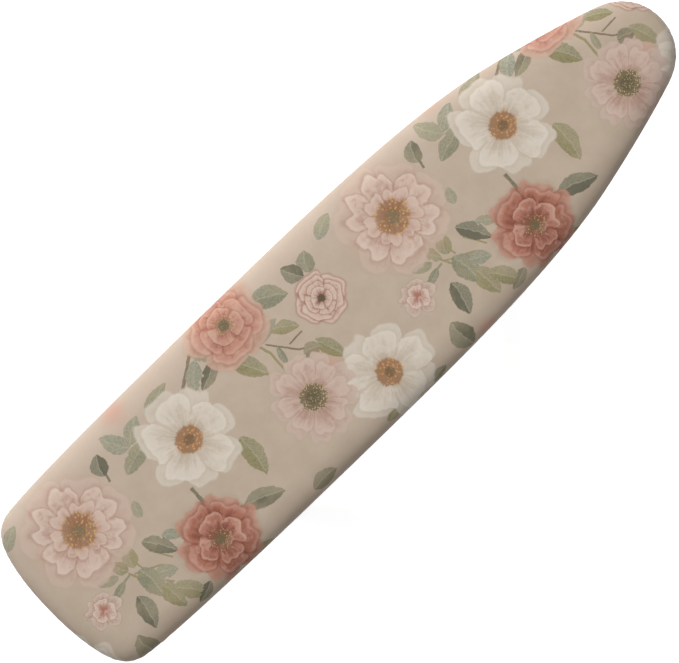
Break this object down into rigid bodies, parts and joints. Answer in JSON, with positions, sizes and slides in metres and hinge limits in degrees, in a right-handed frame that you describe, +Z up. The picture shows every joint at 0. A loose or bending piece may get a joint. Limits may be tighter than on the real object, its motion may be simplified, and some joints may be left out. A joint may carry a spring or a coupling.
{
  "type": "ironing board",
  "caption": "Full-size folding ironing board: padded mesh top in a floral fitted cover, crossed tubular steel legs, slotted rails and a height release lever.",
  "frame": {"origin": "on the floor, under the middle of the board, with the board standing at its highest setting", "axes": "+X along the board towards the nose, +Y to the left seen from the heel, +Z up"},
  "size_m": [1.372, 0.37, 0.9],
  "materials": {
    "cover_cloth": "matt printed cotton, taupe ground with flowers",
    "pad_felt": "matt needled felt",
    "elastic": "matt covered rubber cord",
    "galvanised_steel": "galvanised",
    "painted_steel": "satin powder coat",
    "zinc_steel": "zinc plated",
    "grey_plastic": "fine matt grain",
    "nylon": "smooth satin"
  },
  "bodies": {
    "board": {"fabric_cover": "cover_cloth", "felt_pad": "pad_felt", "hem_elastic": "elastic", "mesh_panel": "galvanised_steel", "heel_brace": "galvanised_steel", "rail_middle_brace": "galvanised_steel", "rail_front_brace": "galvanised_steel", "bracket_brace": "galvanised_steel", "nose_brace": "galvanised_steel", "guide_rail_left": "galvanised_steel", "guide_rail_right": "galvanised_steel", "pivot_bracket_left": "galvanised_steel", "pivot_bracket_right": "galvanised_steel", "lever_lug_front": "galvanised_steel", "lever_lug_rear": "galvanised_steel", "rim_tube": "painted_steel", "leg_pivot_pin_left": "zinc_steel", "leg_pivot_pin_right": "zinc_steel", "lever_spring": "zinc_steel"},
    "outer_legs": {"outer_leg_tube_left": "painted_steel", "outer_leg_tube_right": "painted_steel", "outer_leg_stretcher": "painted_steel", "outer_leg_foot_bar": "painted_steel", "scissor_bolt_left": "zinc_steel", "scissor_bolt_right": "zinc_steel", "scissor_nut_left": "zinc_steel", "scissor_nut_right": "zinc_steel", "outer_leg_tube_plug_left": "grey_plastic", "outer_leg_tube_plug_right": "grey_plastic", "outer_leg_foot_cap_left": "grey_plastic", "outer_leg_foot_cap_right": "grey_plastic", "scissor_spacer_left": "nylon", "scissor_spacer_right": "nylon"},
    "inner_legs": {"inner_leg_tube_left": "painted_steel", "inner_leg_tube_right": "painted_steel", "inner_leg_upper_stretcher": "painted_steel", "inner_leg_lower_stretcher": "painted_steel", "inner_leg_foot_bar": "painted_steel", "slide_rod": "zinc_steel", "rod_clip_left": "zinc_steel", "rod_clip_right": "zinc_steel", "inner_leg_tube_plug_left": "grey_plastic", "inner_leg_tube_plug_right": "grey_plastic", "inner_leg_foot_cap_left": "grey_plastic", "inner_leg_foot_cap_right": "grey_plastic", "slide_bush_left": "nylon", "slide_bush_right": "nylon"},
    "release_lever": {"lever_shaft": "zinc_steel", "height_comb": "galvanised_steel", "lever_arm": "galvanised_steel", "lever_grip": "grey_plastic"}
  },
  "joints": [
    {"name": "legs_fold", "type": "hinge", "parent": "board", "child": "outer_legs", "pos_m": [0.256, 0, 0.852], "axis": [0, 1, 0], "range_deg": [0, 52.24]},
    {"name": "scissor", "type": "hinge", "parent": "outer_legs", "child": "inner_legs", "pos_m": [-0.01345, 0, 0.50415], "axis": [0, 1, 0], "range_deg": [-104.49, 0]},
    {"name": "lever_squeeze", "type": "hinge", "parent": "board", "child": "release_lever", "pos_m": [-0.4, -0.078, 0.872], "axis": [-1, 0, 0], "range_deg": [-13.5, 3], "stiffness_Nm_per_rad": 1.5, "springref_deg": -17.19}
  ],
  "couplings": [
    {"joint": "scissor", "follows": "legs_fold", "ratio": -2}
  ]
}
